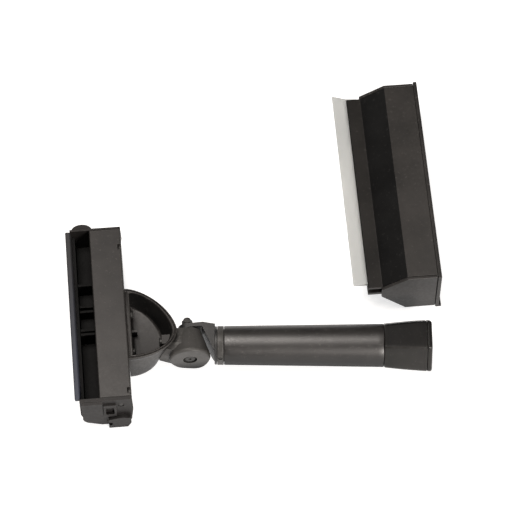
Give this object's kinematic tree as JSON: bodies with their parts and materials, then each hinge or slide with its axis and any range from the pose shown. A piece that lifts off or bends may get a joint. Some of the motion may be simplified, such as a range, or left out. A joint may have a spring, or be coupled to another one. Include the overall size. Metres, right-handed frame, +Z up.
{
  "type": "window squeegee",
  "caption": "Window squeegee: a long holder head that tilts on a tube handle with a flared pole socket, and a loose push-on adapter that holds a silicone blade.",
  "frame": {"origin": "centre of the bounding box's bottom face, on the surface the tool lies on", "axes": "+X from the head towards the handle's end, +Y along the head and the hinge axis, +Z up from the surface"},
  "size_m": [0.2952, 0.2712, 0.0486],
  "materials": {
    "charcoal_plastic": "matte",
    "black_plastic": "matte",
    "grey_plastic": "matte",
    "blue_grey_rubber": "matte",
    "milky_silicone": "satin",
    "blackened_steel": "satin"
  },
  "bodies": {
    "handle": {"handle_tube": "charcoal_plastic", "hex_coupling": "charcoal_plastic", "coupling_end_ring": "charcoal_plastic", "socket_liner": "black_plastic", "front_collar": "grey_plastic", "hinge_fork": "black_plastic", "collar_rivet": "blackened_steel", "pivot_bolt": "blackened_steel", "bolt_head_washer": "blackened_steel", "friction_disc": "black_plastic", "nut_washer": "blackened_steel", "spring_washer": "blackened_steel", "pivot_nut": "blackened_steel"},
    "head": {"swivel_knuckle": "grey_plastic", "neck_cup": "charcoal_plastic", "knuckle_screw_1": "blackened_steel", "knuckle_screw_2": "blackened_steel", "head_screw_1": "blackened_steel", "head_screw_2": "blackened_steel", "base_tray": "black_plastic", "top_cover": "charcoal_plastic", "tray_screw_1": "blackened_steel", "tray_screw_2": "blackened_steel", "tray_screw_3": "blackened_steel", "tray_screw_4": "blackened_steel", "channel_insert": "black_plastic", "rubber_lip": "blue_grey_rubber", "lip_clamp_strip": "black_plastic", "end_cap_near": "charcoal_plastic", "end_cap_far": "charcoal_plastic", "near_cap_screw_1": "blackened_steel", "near_cap_screw_2": "blackened_steel", "far_cap_screw_1": "blackened_steel", "far_cap_screw_2": "blackened_steel"},
    "adapter": {"adapter_upper_shell": "charcoal_plastic", "adapter_lower_shell": "charcoal_plastic", "adapter_end_near": "charcoal_plastic", "adapter_end_far": "charcoal_plastic", "base_flange": "charcoal_plastic", "squeegee_blade": "milky_silicone", "blade_clamp_bar": "black_plastic", "blade_screw_1": "blackened_steel", "blade_screw_2": "blackened_steel", "blade_screw_3": "blackened_steel", "blade_screw_4": "blackened_steel", "blade_screw_5": "blackened_steel"}
  },
  "joints": [
    {"name": "head_tilt", "type": "hinge", "parent": "handle", "child": "head", "pos_m": [-0.0562, -0.07875, 0.02], "axis": [0, 1, 0], "range_deg": [-60, 60]},
    {"name": "adapter_lift", "type": "slide", "parent": "handle", "child": "adapter", "axis": [0, 0, 1], "range_m": [0, 0.12]}
  ]
}
